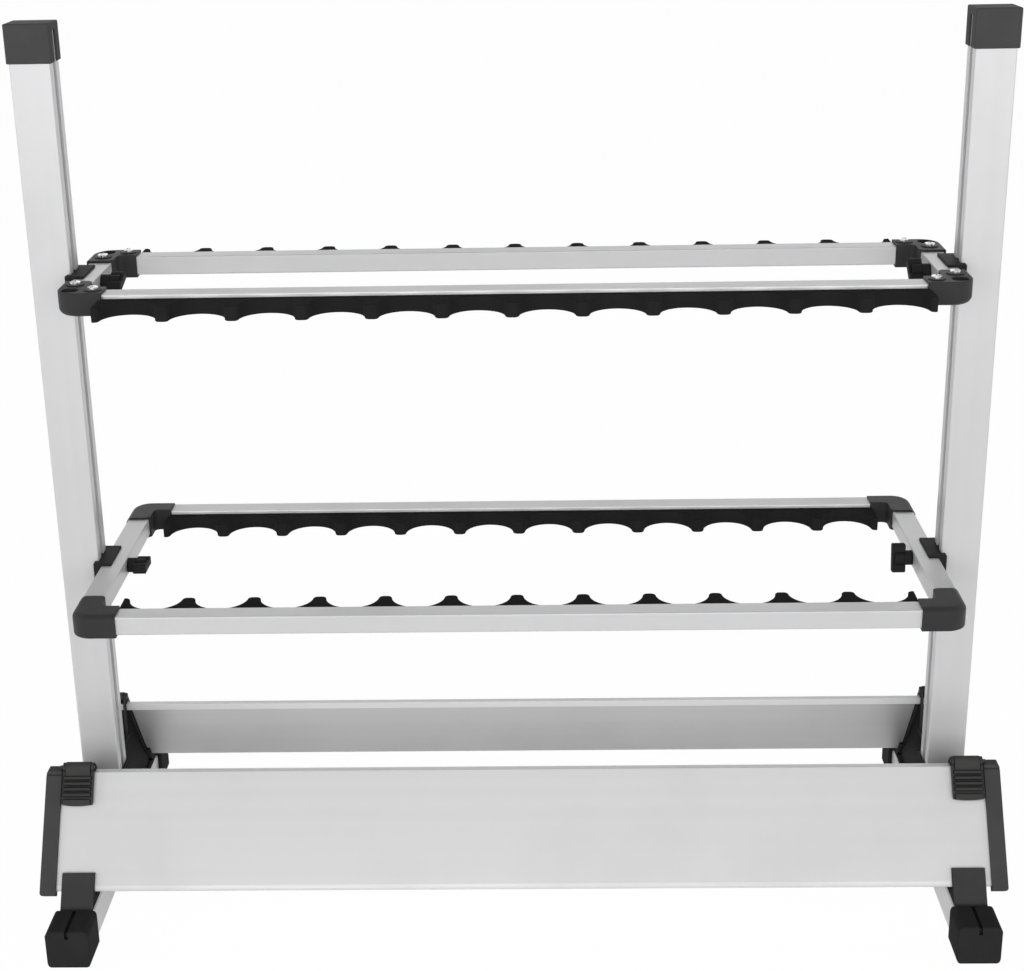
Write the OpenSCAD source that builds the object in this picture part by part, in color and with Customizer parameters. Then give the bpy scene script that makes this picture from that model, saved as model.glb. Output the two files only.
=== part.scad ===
// Rod rack: two slotted aluminium uprights on foot bars, with two sliding rod frames and two
// sloping panels. Millimetres, +X to the right, +Y to the rear, +Z up, floor at z = 0.

/* [Overall] */
// Width across the outer faces of the uprights
rack_w = 700; // [560:5:900]
// Height of the rack to the top of the upright caps
rack_h = 670.2; // [560:1:800]

/* [Uprights] */
// Width of an upright along X
upright_w = 29; // [27:0.5:36]
// Depth of an upright along Y
upright_d = 25; // [22:0.5:34]
// Wall of an upright
upright_wall = 1.6; // [1.2:0.1:2.4]
// Radius of an upright's corners
upright_r = 1; // [0.4:0.1:2]
// Width of the slot in the inner face
slot_w = 8; // [7:0.1:9]
// Thickness of the lips beside the slot
slot_lip = 2.2; // [1.6:0.1:3]
// Width of the channel behind the slot
channel_w = 13; // [12:0.1:15]
// Depth of the channel behind the slot
channel_d = 6; // [5:0.1:8]

/* [Upright caps] */
// Side wall of a cap
cap_wall = 1.5; // [1.2:0.1:3]
// Top wall of a cap
cap_top = 3; // [2:0.1:5]
// Height of a cap
cap_h = 27.6; // [15:0.1:40]
// Edge radius of a cap
cap_r = 1.4; // [0.6:0.1:1.8]
// Height of the groove in a cap's inner face
cap_groove_h = 22; // [8:0.5:24]

/* [Rails] */
// Width of a rail or end tube
tube_w = 16.6; // [14:0.1:20]
// Height of a rail or end tube
tube_h = 14; // [12:0.1:18]
// Wall of a rail or end tube
tube_wall = 1.5; // [1.2:0.1:2.2]
// Edge radius of a rail or end tube
tube_r = 1.2; // [0.5:0.1:1.4]
// Depth of the groove that holds a strip's tongue
groove_d = 4.2; // [3:0.1:5]
// Height of the groove that holds a strip's tongue
groove_h = 4.4; // [3:0.1:6]

/* [Upper frame] */
// Height of the upper rails' top above the floor
upper_top = 490.6; // [420:1:560]
// Depth across the upper rails' outer faces
upper_d = 136; // [120:1:180]

/* [Lower frame] */
// Height of the lower rails' top above the floor
lower_top = 266.7; // [240:1:330]
// Depth across the lower rails' outer faces
lower_d = 232; // [200:1:280]

/* [Rod strips] */
// Number of rod notches in a strip
notch_count = 12; // [8:1:14]
// Width of a tooth between two notches at its tip
tooth_tip = 9.5; // [6:0.1:12]
// Radius of a tooth's corners
tooth_r = 2.6; // [0.5:0.1:2.8]
// Web between a notch and the rail
strip_web = 2.5; // [2:0.1:9]
// Depth of a notch's straight sides before its round end
notch_side = 3.5; // [1:0.1:8]
// Thickness of a strip
strip_t = 10.7; // [7:0.1:11]
// Drop from the rail's top to the strip's top
strip_drop = 2.8; // [0.5:0.1:3.2]
// Reach of the end teeth past the corner fittings
strip_past_corner = 2.1; // [1:0.1:8]

/* [Corner fittings] */
// Length of a corner fitting along its rail
corner_x = 33.2; // [31:0.1:45]
// Length of a corner fitting along its end tube
corner_y = 38; // [34:0.1:44]
// Wall outside the rail
corner_front_wall = 2; // [1.6:0.1:3]
// Wall outside the end tube
corner_side_wall = 1.5; // [1.2:0.1:1.8]
// Wall inside the rail
corner_inner_wall = 1; // [0.8:0.1:2]
// Wall above and below the tubes
corner_skin = 1.7; // [1.4:0.1:2.6]
// Plan radius of the outer corner
corner_plan_r = 15; // [10:0.5:15]
// Radius of the outer edges on the smooth side
corner_edge_r = 5.2; // [2:0.1:5.2]
// Radius of the outer edges on the screw side
corner_top_r = 1; // [0.4:0.1:1.4]
// Plan radius of the inner corner where the arm along the end tube ends
corner_arm_r = 4.5; // [1:0.1:5]
// Distance of the pocket from the outer faces
corner_pocket_edge = 3.6; // [3:0.1:5]
// Side of the pocket in the screw side
corner_pocket = 12; // [8:0.1:12.4]
// Depth of the pocket in the screw side
corner_pocket_d = 6; // [2:0.1:10]
// Radius of the pocket's corners
corner_pocket_r = 5; // [1:0.1:5.5]
// Diameter of the boss under a screw head
boss_d = 12.6; // [10:0.1:14]
// Height of the boss under a screw head
boss_h = 0.8; // [0.3:0.1:1.5]

/* [Clamps] */
// Thickness of the clamp's web beside the upright
clamp_web = 2.4; // [1.8:0.1:3]
// Length of a clamp along Y
clamp_l = 38.5; // [34:0.5:50]
// Thickness of the lips above and below the end tube
clamp_lip = 1.8; // [1.4:0.1:2.6]
// Reach of the lips over the end tube
clamp_reach = 8; // [5:0.1:12]
// Reach of the cheeks along the upright
clamp_cheek = 3.2; // [2:0.1:6]
// Length of the T-nut along the slot
t_nut_l = 14; // [10:0.5:20]
// Thickness of the T-nut
t_nut_t = 5; // [4:0.1:5.2]

/* [Knobs] */
// Length of a knob's wing
wing_l = 23; // [20:0.5:40]
// Thickness of a knob's wing at its lobes
wing_t = 8; // [7.5:0.1:11]
// Thickness of a knob's wing at its waist
wing_waist = 5.4; // [4:0.1:7]
// Edge radius of a knob's wing
wing_r = 2.8; // [1:0.1:3.2]
// Depth of a knob's wing along the bolt
wing_d = 10.5; // [8:0.1:16]
// Diameter of a knob's hub
hub_d = 11.3; // [9:0.1:16]
// Thickness of a knob's hub
hub_t = 4.9; // [3:0.1:8]
// Diameter of a clamping bolt
bolt_d = 6; // [5:0.1:6.4]
// Turn of the upper left wing from level
upper_left_turn = 15; // [-90:5:90]
// Turn of the upper right wing from level
upper_right_turn = 35; // [-90:5:90]
// Turn of the lower left wing from level
lower_left_turn = 0; // [-90:5:90]
// Turn of the lower right wing from level
lower_right_turn = 80; // [-90:5:90]

/* [Panels] */
// Reach of the bare panel past an upright's outer face
panel_overhang = 2.5; // [1:0.1:6]
// Distance of a panel's lower edge from the rack's middle
panel_foot_y = 111.2; // [104:0.1:112]
// Height of a panel's lower edge
panel_foot_z = 38.7; // [36:0.1:44]
// Width of a panel along its slope
panel_l = 89.5; // [86:0.1:94]
// Slope of a panel from level
panel_slope = 55.3; // [54:0.1:57]
// Thickness of the panel's sheet
panel_t = 1.8; // [1.2:0.1:2.4]
// Depth of the folded top hem
hem_d = 5.1; // [4:0.1:6]
// Drop of the folded top hem
hem_drop = 5.2; // [2.5:0.1:6]
// Width of the rolled-in strip along the lower edge
foot_roll = 4; // [2:0.1:8]

/* [Panel end caps] */
// Thickness of an end cap along X
end_cap_w = 12; // [8:0.1:16]
// End wall of an end cap
end_cap_wall = 2.3; // [1.5:0.1:4]
// Stand-out of an end cap from the panel's faces
end_cap_proud = 2.2; // [0.8:0.1:2.5]
// Reach of an end cap past the panel's lower edge
end_cap_foot = 3.5; // [1.5:0.1:5]
// Edge radius of an end cap
end_cap_r = 1.2; // [0.4:0.1:1.4]
// Radius of an end cap's corners, seen from the front
end_cap_corner_r = 2.4; // [1:0.1:4]

/* [Latches] */
// Width of a latch
latch_w = 23.4; // [20:0.1:24]
// Gap between a latch and the panel's end cap
latch_clear = 1.3; // [0.4:0.1:2]
// Thickness of a latch's leg
latch_t = 4.6; // [3:0.1:5]
// Reach of the leg down the panel
latch_leg = 26; // [20:0.5:40]
// Radius of the leg's lower corners
latch_r = 2.6; // [1:0.1:4]
// Radius of the arch along the leg's lower edge
latch_arch_r = 55; // [40:1:200]
// Number of grip ribs
grip_count = 4; // [2:1:5]
// Pitch of the grip ribs
grip_pitch = 4.2; // [3.2:0.1:4.5]
// Radius of a grip rib
grip_r = 1.5; // [0.6:0.1:1.5]
// Stand-out of the raised pad below the ribs
grip_pad_t = 0.8; // [0.4:0.1:1.2]
// Distance of the ribs from the leg's sides
grip_inset = 1.3; // [0.5:0.1:3]
// Radius of a latch's knuckle
knuckle_r = 4.1; // [3.4:0.1:4.6]
// Radius of the ears that hold a latch
ear_r = 3.6; // [2.8:0.1:3.8]
// Diameter of a latch pin
pin_d = 3; // [2.5:0.1:3.4]
// Stand-out of a latch pin's outer end
pin_proud = 2.4; // [0:0.1:4]

/* [Side brackets] */
// Width of a side bracket
bracket_w = 24.6; // [22:0.1:25]
// Height of a side bracket's flanges and gussets
gusset_top = 86; // [80:1:90]
// Thickness of the gussets and ears
plate_t = 2; // [1.6:0.1:2.4]
// Thickness of the floor and flanges
flange_t = 2.9; // [2:0.1:4]
// Distance of the gussets' lower corner from the middle
plate_foot_y = 105; // [98:1:106]
// Height of the gussets' outer edge above the foot bar
plate_foot_h = 9; // [4:0.5:14]
// Depth of the arm behind a panel's hem
arm_d = 3; // [2:0.1:5]
// Height of the cheek that closes the foot of the slot
cheek_top = 85; // [60:1:100]
// Thickness of the tongue over the panel's lower edge
tongue_t = 2.5; // [1.5:0.1:4]
// Reach of the tongue up the panel
tongue_l = 13.6; // [8:0.1:20]
// Reach of the shoe below the panel's lower edge
shoe_reach = 16; // [12:0.5:18]
// Wall of the shoe
shoe_t = 2.5; // [1.5:0.1:3]
// Reach of the shoe's lip behind the panel
shoe_lip = 10; // [6:0.5:16]
// Thickness of the rest behind the panel
pad_t = 3; // [2:0.1:4]
// Distance of the rest from the panel's top hem
pad_gap = 9.5; // [8:0.5:20]

/* [Feet] */
// Width of a foot
foot_w = 32.8; // [32:0.1:40]
// Length of a foot along Y
foot_l = 30.4; // [22:0.1:32]
// Height of a foot
foot_h = 31; // [30.5:0.1:34]
// End wall of a foot
foot_end = 4.4; // [3:0.1:6]
// Radius of a foot's long edges
foot_r = 5.4; // [1.5:0.1:5.5]
// Edge radius of a foot's ends
foot_end_r = 1.8; // [0.5:0.1:2.2]
// Clearance between a panel's lower edge and a foot
foot_clear = 13; // [12:0.2:24]
// Width of the groove along a foot's top
foot_groove_w = 2.6; // [1:0.1:3]
// Depth of the groove along a foot's top
foot_groove_d = 1.6; // [0.8:0.1:2]
// Width of a foot bar
bar_w = 27; // [26:0.1:29]
// Height of a foot bar
bar_h = 25; // [23:0.1:25]
// Height of a foot bar's underside
bar_z = 3; // [2:0.1:3.4]
// Wall of a foot bar
bar_wall = 1.8; // [1.2:0.1:3]

/* [Screws] */
// Diameter of a screw head
head_d = 7.5; // [6:0.1:8.4]
// Height of a screw head
head_h = 2.4; // [1.5:0.1:3]
// Diameter of a screw's shank
shank_d = 3.4; // [3:0.1:4]
// Length of a screw's shank
shank_l = 7; // [5:0.1:8]

/* [Fits] */
// Gap around a part that is held in a sleeve
sleeve_gap = 0.1; // [0.05:0.01:0.15]
// Gap between a frame and the uprights that it slides on
slide_gap = 0.2; // [0.15:0.01:0.3]
// Radial gap of a pin or a bolt that turns in its hole
turn_gap = 0.05; // [0.02:0.01:0.1]
// Gap between parts that swing past each other
swing_gap = 0.3; // [0.25:0.01:0.35]

/* [Hidden] */
$fn = 48;
cut = 1;

upright_out = rack_w / 2;
upright_in = upright_out - upright_w;
upright_x = upright_out - upright_w / 2;
bar_top = bar_z + bar_h;
foot_out = panel_foot_y + foot_clear + foot_l;
bar_end = foot_out - foot_end - sleeve_gap;
floor_z = bar_top + sleeve_gap;
upright_foot = floor_z + flange_t + sleeve_gap;
cap_z = rack_h - cap_h;
chamber_in = slot_lip + channel_d + upright_wall;

clamp_in = upright_in - slide_gap - clamp_web;
tube_out = clamp_in - sleeve_gap;
tube_in = tube_out - tube_w;
tube_x = (tube_in + tube_out) / 2;
corner_out = tube_out + corner_side_wall;
corner_end = corner_out - corner_x;
rail_set_back = 1.2;
rail_end = tube_in - rail_set_back;
tube_set_back = tube_w + 1.4;
rail_screw_x = corner_end + 7.4;
tube_screw_y = 24;

strip_end = corner_end + strip_past_corner;
strip_pitch = 2 * strip_end / notch_count;
notch_r = (strip_pitch - tooth_tip) / 2;
strip_reach = strip_web + notch_r + notch_side;
tongue_gap = 0.2;

panel_w = rack_w + 2 * panel_overhang;
panel_head_y = panel_foot_y - panel_l * cos(panel_slope);
panel_head_z = panel_foot_z + panel_l * sin(panel_slope);
hem_y = panel_head_y - hem_d;
panel_end = panel_w / 2 + end_cap_w - end_cap_wall - sleeve_gap;
panel_room = panel_t + 2 * sleeve_gap;

latch_out = panel_w / 2 - latch_clear;
latch_in = latch_out - latch_w;
latch_x = (latch_in + latch_out) / 2;
latch_foot = panel_l - latch_leg;
latch_face = -swing_gap - latch_t;
ear_in = latch_in + plate_t + swing_gap;
ear_out = latch_out - plate_t - swing_gap;
pivot_y = panel_head_y - 0.25;
pivot_z = panel_head_z + swing_gap + knuckle_r;
pivot_u = (panel_foot_y - pivot_y) * cos(panel_slope) + (pivot_z - panel_foot_z) * sin(panel_slope);
pivot_v = (panel_foot_y - pivot_y) * sin(panel_slope) - (pivot_z - panel_foot_z) * cos(panel_slope);
first_grip = 8.5;
pad_ends = [0.7, 4.5];

bracket_in = upright_x - bracket_w / 2;
bracket_out = upright_x + bracket_w / 2;
plate_in = latch_in - plate_t;
plate_out = bracket_out - plate_t;
flange_y = upright_d / 2 + sleeve_gap;
arm_y = hem_y - sleeve_gap - arm_d;
flange_screws = [46, 74];
floor_screw_y = 60;

aluminium = [0.84, 0.84, 0.85];
plastic = [0.24, 0.24, 0.25];
strip_black = [0.13, 0.13, 0.14];
foot_black = [0.16, 0.16, 0.17];
steel = [0.75, 0.75, 0.77];

// Each frame is [rail top height, half depth, side of the strips, side of the screws].
// The upper strips reach outward and its screws are on top; the lower ones are the other way.
UPPER = [upper_top, upper_d / 2, 1, 1];
LOWER = [lower_top, lower_d / 2, -1, -1];
function frame_mid(f) = f[0] - tube_h / 2;
function strip_face(f) = f[2] > 0 ? f[1] : f[1] - tube_w;

// Mirrors a piece drawn for +X and +Y to the side and end that are asked for.
module placed(side, end = 1) {
    mirror([side < 0 ? 1 : 0, 0, 0])
        mirror([0, end < 0 ? 1 : 0, 0])
            children();
}

// Draws a (Y, Z) profile along X, and an (X, Z) profile along Y.
module along_x(from, to) {
    translate([from, 0, 0]) rotate([90, 0, 90]) linear_extrude(to - from) children();
}
module along_y(from, to) {
    translate([0, to, 0]) rotate([90, 0, 0]) linear_extrude(to - from) children();
}

module rounded_rect(w, d, r) {
    square([w - 2 * r, d], center = true);
    square([w, d - 2 * r], center = true);
    for (x = [-1, 1], y = [-1, 1])
        translate([x * (w / 2 - r), y * (d / 2 - r)]) circle(r);
}

// A block whose edges are all rounded, centred on its place.
module soft_block(size, r) {
    intersection() {
        linear_extrude(size.z, center = true) rounded_rect(size.x, size.y, r);
        rotate([90, 0, 0]) linear_extrude(size.y + cut, center = true) rounded_rect(size.x, size.z, r);
        rotate([90, 0, 90]) linear_extrude(size.x + cut, center = true) rounded_rect(size.y, size.z, r);
    }
}

module box(low, high) {
    translate(low) cube(high - low);
}

// A bore along X, Y or Z, from one place to another.
module bore_x(from, to, y, z, d) {
    translate([from, y, z]) rotate([0, 90, 0]) cylinder(h = to - from, d = d);
}
module bore_y(from, to, x, z, d) {
    translate([x, from, z]) rotate([-90, 0, 0]) cylinder(h = to - from, d = d);
}

// A pan-head screw with its head's seat at the origin and its shank pointing down.
module pan_head_screw() {
    difference() {
        union() {
            rotate_extrude() intersection() {
                translate([0, -head_d * 1.1 + head_h]) circle(head_d * 1.1);
                square([head_d / 2, head_h]);
            }
            translate([0, 0, -shank_l]) cylinder(h = shank_l + 0.2, d = shank_d);
        }
        for (turn = [0, 90])
            rotate([0, 0, turn + 20]) translate([-2.1, -0.45, head_h * 0.45]) cube([4.2, 0.9, head_h]);
    }
}

// Uprights and their caps

module upright_section() {
    difference() {
        translate([upright_w / 2, 0]) rounded_rect(upright_w, upright_d, upright_r);
        translate([-cut, -slot_w / 2]) square([slot_lip + 2 * cut, slot_w]);
        translate([slot_lip, -channel_w / 2]) square([channel_d, channel_w]);
        translate([chamber_in, upright_wall - upright_d / 2])
            square([upright_w - upright_wall - chamber_in, upright_d - 2 * upright_wall]);
    }
}

module upright(side) {
    color(aluminium) placed(side) difference() {
        translate([upright_in, 0, upright_foot])
            linear_extrude(rack_h - cap_top - sleeve_gap - upright_foot) upright_section();
        for (z = flange_screws, face = [-1, 1])
            bore_y(face > 0 ? upright_d / 2 - upright_wall - cut : -upright_d / 2 - cut,
                   face > 0 ? upright_d / 2 + cut : -upright_d / 2 + upright_wall + cut,
                   latch_x, z, shank_d + 2 * turn_gap);
    }
}

module upright_cap(side) {
    inner = [upright_w + 2 * sleeve_gap, upright_d + 2 * sleeve_gap];
    outer = [inner.x + 2 * cap_wall, inner.y + 2 * cap_wall, cap_h];
    color(plastic) placed(side) difference() {
        translate([upright_x, 0, rack_h - cap_h / 2]) soft_block(outer, cap_r);
        translate([upright_x, 0, cap_z - cut])
            linear_extrude(cap_h - cap_top + cut) square(inner, center = true);
        box([upright_in - cap_wall - cut, -slot_w / 2, cap_z - cut],
            [upright_in + cut / 2, slot_w / 2, cap_z + cap_groove_h]);
    }
}

// Feet, foot bars and side brackets

module foot_bar(side) {
    color(aluminium) placed(side) difference() {
        along_y(-bar_end, bar_end) translate([upright_x, bar_z + bar_h / 2]) difference() {
            rounded_rect(bar_w, bar_h, 2);
            rounded_rect(bar_w - 2 * bar_wall, bar_h - 2 * bar_wall, 1);
        }
        for (end = [-1, 1])
            translate([latch_x, end * floor_screw_y, bar_top - bar_wall - cut])
                cylinder(h = bar_wall + 2 * cut, d = shank_d + 2 * turn_gap);
    }
}

module foot(side, end) {
    mouth = foot_out - foot_l;
    color(foot_black) placed(side, end) difference() {
        translate([upright_x, foot_out - foot_l / 2, foot_h / 2]) intersection() {
            along_y(-foot_l / 2, foot_l / 2) rounded_rect(foot_w, foot_h, foot_r);
            linear_extrude(foot_h, center = true) rounded_rect(foot_w, foot_l, foot_end_r);
            along_x(-foot_w / 2, foot_w / 2) rounded_rect(foot_l, foot_h, foot_end_r);
        }
        along_y(mouth - cut, foot_out - foot_end) translate([upright_x, bar_z + bar_h / 2])
            rounded_rect(bar_w + 2 * sleeve_gap, bar_h + 2 * sleeve_gap, 2);
        box([upright_x - foot_groove_w / 2, mouth + 1.6, foot_h - foot_groove_d],
            [upright_x + foot_groove_w / 2, foot_out + cut, foot_h + cut]);
        box([upright_x - foot_groove_w / 2, foot_out - foot_groove_d, foot_h - 6],
            [upright_x + foot_groove_w / 2, foot_out + cut, foot_h + cut]);
    }
}

// Moves a 2D drawing onto a panel's end: x runs up the slope from the lower edge, y runs inward.
module on_slope() {
    translate([panel_foot_y, panel_foot_z]) rotate(180 - panel_slope) children();
}

// Moves a solid onto a panel's face: x runs along the panel, y up the slope and z inward.
module on_face() {
    translate([0, panel_foot_y, panel_foot_z]) rotate([180 - panel_slope, 0, 0]) children();
}

// The place in Y and Z of a point that is up the slope and inward from a panel's lower edge.
function on_panel(up, inward) =
    [panel_foot_y - up * cos(panel_slope) - inward * sin(panel_slope),
     panel_foot_z + up * sin(panel_slope) - inward * cos(panel_slope)];

// A gusset from the foot bar to the upright, seen from the side.
module gusset_outline() {
    foot_top = floor_z + plate_foot_h;
    polygon([[flange_y, floor_z], [plate_foot_y, floor_z], [plate_foot_y, foot_top],
             [plate_foot_y + foot_top - gusset_top, gusset_top], [flange_y, gusset_top]]);
}

// An arm that reaches from the rest behind a panel over its hem, to the ear for the latch pin.
module ear_outline(foot) {
    head = panel_head_z + sleeve_gap;
    lean = ear_r * sqrt(0.5);
    difference() {
        union() {
            polygon(concat(
                [[pivot_y - 1, head], [hem_y - sleeve_gap, head],
                 [hem_y - sleeve_gap, panel_head_z - hem_drop - sleeve_gap],
                 on_panel(panel_l - pad_gap, panel_room + pad_t / 2)],
                foot,
                [[arm_y, panel_head_z - 12], [arm_y, pivot_z - arm_d],
                 [pivot_y - lean, pivot_z + lean], [pivot_y, pivot_z]]));
            translate([pivot_y, pivot_z]) circle(ear_r);
        }
        translate([pivot_y, pivot_z]) circle(pin_d / 2 + turn_gap);
    }
}

// The shoe that holds a panel's lower edge and carries it on the foot bar.
module shoe_outline() {
    difference() {
        union() {
            on_slope() translate([-shoe_reach, -tongue_t - sleeve_gap])
                square([shoe_reach + tongue_l, tongue_t]);
            on_slope() translate([-shoe_reach, -tongue_t - sleeve_gap])
                square([shoe_reach - sleeve_gap, tongue_t + panel_room + shoe_t]);
            on_slope() translate([-shoe_t, panel_room]) square([shoe_t + shoe_lip, shoe_t]);
            translate([panel_foot_y - shoe_reach, floor_z]) square([shoe_reach + 4, flange_t]);
        }
        translate([0, floor_z - bar_h]) square([foot_out, bar_h]);
    }
}

module bracket_half() {
    pad_foot = on_panel(shoe_lip, panel_room + pad_t / 2);
    // Floor and the flange beside the upright
    box([bracket_in, 0, floor_z], [bracket_out, plate_foot_y, floor_z + flange_t]);
    box([bracket_in, flange_y, floor_z], [bracket_out, flange_y + flange_t, gusset_top]);
    // Cheek that closes the foot of the slot
    box([clamp_in, 0, floor_z], [upright_in - slide_gap, flange_y + flange_t, cheek_top]);
    box([clamp_in, flange_y, floor_z], [bracket_in + cut, flange_y + flange_t, cheek_top]);
    box([clamp_in, 0, floor_z], [bracket_in + cut, flange_y + flange_t, floor_z + flange_t]);
    // Gussets, ears, rest and shoe
    along_x(plate_in, latch_in) gusset_outline();
    along_x(plate_out, bracket_out) gusset_outline();
    along_x(latch_in, latch_in + plate_t)
        ear_outline([pad_foot, [plate_foot_y - 8, floor_z + plate_foot_h], [arm_y, gusset_top - 20]]);
    along_x(latch_out - plate_t, latch_out)
        ear_outline([on_panel(panel_l * 0.6, panel_room + pad_t / 2)]);
    along_x(plate_in, latch_out) on_slope() translate([shoe_lip, panel_room])
        square([panel_l - shoe_lip - pad_gap, pad_t]);
    along_x(bracket_in, bracket_out) shoe_outline();
}

module side_bracket(side) {
    color(plastic) placed(side) difference() {
        union() {
            bracket_half();
            mirror([0, 1, 0]) bracket_half();
        }
        for (end = [-1, 1]) {
            for (z = flange_screws)
                bore_y(end > 0 ? flange_y - cut : -flange_y - flange_t - cut,
                       end > 0 ? flange_y + flange_t + cut : -flange_y + cut,
                       latch_x, z, shank_d + 2 * turn_gap);
            translate([latch_x, end * floor_screw_y, floor_z - cut])
                cylinder(h = flange_t + 2 * cut, d = shank_d + 2 * turn_gap);
        }
    }
}

module bracket_screws() {
    color(steel) for (side = [-1, 1], end = [-1, 1]) placed(side, end) {
        for (z = flange_screws)
            translate([latch_x, flange_y + flange_t, z]) rotate([-90, 0, 0]) pan_head_screw();
        translate([latch_x, floor_screw_y, floor_z + flange_t]) pan_head_screw();
    }
}

// Panels, their end caps and the latches

// The bent sheet of a panel, seen from the end, with its outline grown by a gap.
module panel_section(gap = 0) {
    on_slope() translate([-gap, -gap]) square([panel_l + gap, panel_t + 2 * gap]);
    translate([hem_y - gap, panel_head_z - panel_t - gap])
        square([hem_d + 2 * gap, panel_t + 2 * gap]);
    translate([hem_y - gap, panel_head_z - hem_drop - gap])
        square([panel_t + 2 * gap, hem_drop + 2 * gap]);
}

module panel(end) {
    color(aluminium) placed(1, end) along_x(-panel_end, panel_end) difference() {
        panel_section();
        on_slope() polygon([[-cut, 0.9], [0, 0.9], [foot_roll * 0.4, 0.3], [foot_roll, 0],
                            [foot_roll, -cut], [-cut, -cut]]);
    }
}

// An end cap's outline with its outer corners rounded: x along the panel, y up from its foot.
module end_cap_front(height) {
    r = end_cap_corner_r;
    translate([panel_w / 2 + end_cap_w / 2 - r, height / 2])
        rounded_rect(end_cap_w + 2 * r, height, r);
}

module end_cap(side, end) {
    proud = end_cap_proud;
    from = panel_w / 2;
    to = from + end_cap_w;
    slope_l = panel_l - 2 + end_cap_foot;
    tall = panel_head_z + proud;
    color(plastic) placed(side, end) difference() {
        intersection() {
            along_x(from, to) {
                on_slope() translate([slope_l / 2 - end_cap_foot, panel_t / 2])
                    rounded_rect(slope_l, panel_t + 2 * proud, end_cap_r);
                translate([hem_y + hem_d / 2, panel_head_z - hem_drop / 2])
                    rounded_rect(hem_d + 2 * proud, hem_drop + 2 * proud, end_cap_r);
            }
            along_y(0, foot_out) end_cap_front(tall);
            on_face() translate([0, -end_cap_foot, -foot_l])
                linear_extrude(2 * foot_l) end_cap_front(2 * panel_l);
        }
        along_x(from - cut, to - end_cap_wall) panel_section(sleeve_gap);
    }
}

// A latch's leg in front of the panel, seen from the side.
module leg_outline() {
    on_slope() {
        translate([latch_foot + latch_t / 2, latch_face])
            square([pivot_u - latch_foot - latch_t / 2, latch_t]);
        translate([latch_foot + latch_t / 2, latch_face + latch_t / 2]) circle(latch_t / 2);
    }
}

// A latch's leg, seen from the front: x along the panel, y up the slope.
module leg_front() {
    leg_l = 2 * latch_leg;
    intersection() {
        translate([latch_x, latch_foot + leg_l / 2]) rounded_rect(latch_w, leg_l, latch_r);
        translate([latch_x, latch_foot + latch_arch_r]) circle(latch_arch_r, $fn = 96);
    }
}

module latch(side, end) {
    blend = panel_l - 5;
    color(plastic) placed(side, end) difference() {
        union() {
            intersection() {
                along_x(latch_in, latch_out) leg_outline();
                on_face() translate([0, 0, latch_face - cut])
                    linear_extrude(latch_t + 2 * cut) leg_front();
            }
            along_x(ear_in, ear_out) {
                translate([pivot_y, pivot_z]) circle(knuckle_r);
                on_slope() polygon([[blend, latch_face], [pivot_u, pivot_v - knuckle_r],
                                    [pivot_u, -swing_gap], [blend, -swing_gap]]);
            }
            along_x(latch_in + grip_inset, latch_out - grip_inset) on_slope() {
                for (i = [0:grip_count - 1])
                    translate([latch_foot + first_grip + i * grip_pitch, latch_face + 0.3])
                        circle(grip_r);
                translate([latch_foot + pad_ends[0], latch_face - grip_pad_t])
                    square([pad_ends[1] - pad_ends[0], grip_pad_t + latch_t / 2]);
            }
        }
        // Room for the ears, and the pin's bore
        for (ends = [[latch_in - cut, ear_in], [ear_out, latch_out + cut]])
            bore_x(ends[0], ends[1], pivot_y, pivot_z, 2 * (ear_r + swing_gap));
        bore_x(ear_in - cut, ear_out + cut, pivot_y, pivot_z, pin_d + 2 * turn_gap);
    }
}

module latch_pins() {
    color(steel) for (side = [-1, 1], end = [-1, 1]) placed(side, end)
        bore_x(latch_in, latch_out + pin_proud, pivot_y, pivot_z, pin_d);
}

// The two rod frames

module tube_section() {
    difference() {
        rounded_rect(tube_w, tube_h, tube_r);
        square([tube_w - 2 * tube_wall, tube_h - 2 * tube_wall], center = true);
    }
}

// A rail's section, with the groove for the strip on its +x side.
module rail_section() {
    chamber_w = tube_w - 2 * tube_wall - groove_d;
    difference() {
        rounded_rect(tube_w, tube_h, tube_r);
        translate([tube_wall - tube_w / 2, tube_wall - tube_h / 2])
            square([chamber_w, tube_h - 2 * tube_wall]);
        translate([tube_w / 2 - groove_d, -groove_h / 2]) square([groove_d + cut, groove_h]);
    }
}

module rail(f, end) {
    color(aluminium) placed(1, end) difference() {
        along_x(-rail_end, rail_end)
            translate([f[1] - tube_w / 2, frame_mid(f)]) scale([f[2], 1]) rail_section();
        for (side = [-1, 1])
            translate([side * rail_screw_x, f[1] - tube_w / 2, frame_mid(f)])
                rotate([f[3] > 0 ? 0 : 180, 0, 0])
                    translate([0, 0, tube_h / 2 - tube_wall - cut])
                        cylinder(h = tube_wall + 2 * cut, d = shank_d + 2 * turn_gap);
    }
}

module end_tube(f, side) {
    reach = f[1] - tube_set_back;
    color(aluminium) placed(side) difference() {
        along_y(-reach, reach) translate([tube_x, frame_mid(f)]) tube_section();
        for (end = [-1, 1])
            translate([tube_x, end * (f[1] - tube_screw_y), frame_mid(f)])
                rotate([f[3] > 0 ? 0 : 180, 0, 0])
                    translate([0, 0, tube_h / 2 - tube_wall - cut])
                        cylinder(h = tube_wall + 2 * cut, d = shank_d + 2 * turn_gap);
        bore_x(tube_in - cut, tube_out + cut, 0, frame_mid(f), bolt_d + 2 * turn_gap);
    }
}

// The section across a corner fitting's arm: x out to the outer face, y up from the smooth side.
module arm_section(wide) {
    tall = tube_h + 2 * corner_skin;
    difference() {
        translate([-wide, 0]) square([wide, tall]);
        translate([-corner_edge_r, corner_edge_r]) difference() {
            translate([0, -corner_edge_r - cut]) square(corner_edge_r + cut);
            circle(corner_edge_r);
        }
        translate([-corner_top_r, tall - corner_top_r]) difference() {
            square(corner_top_r + cut);
            circle(corner_top_r);
        }
    }
}

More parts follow.
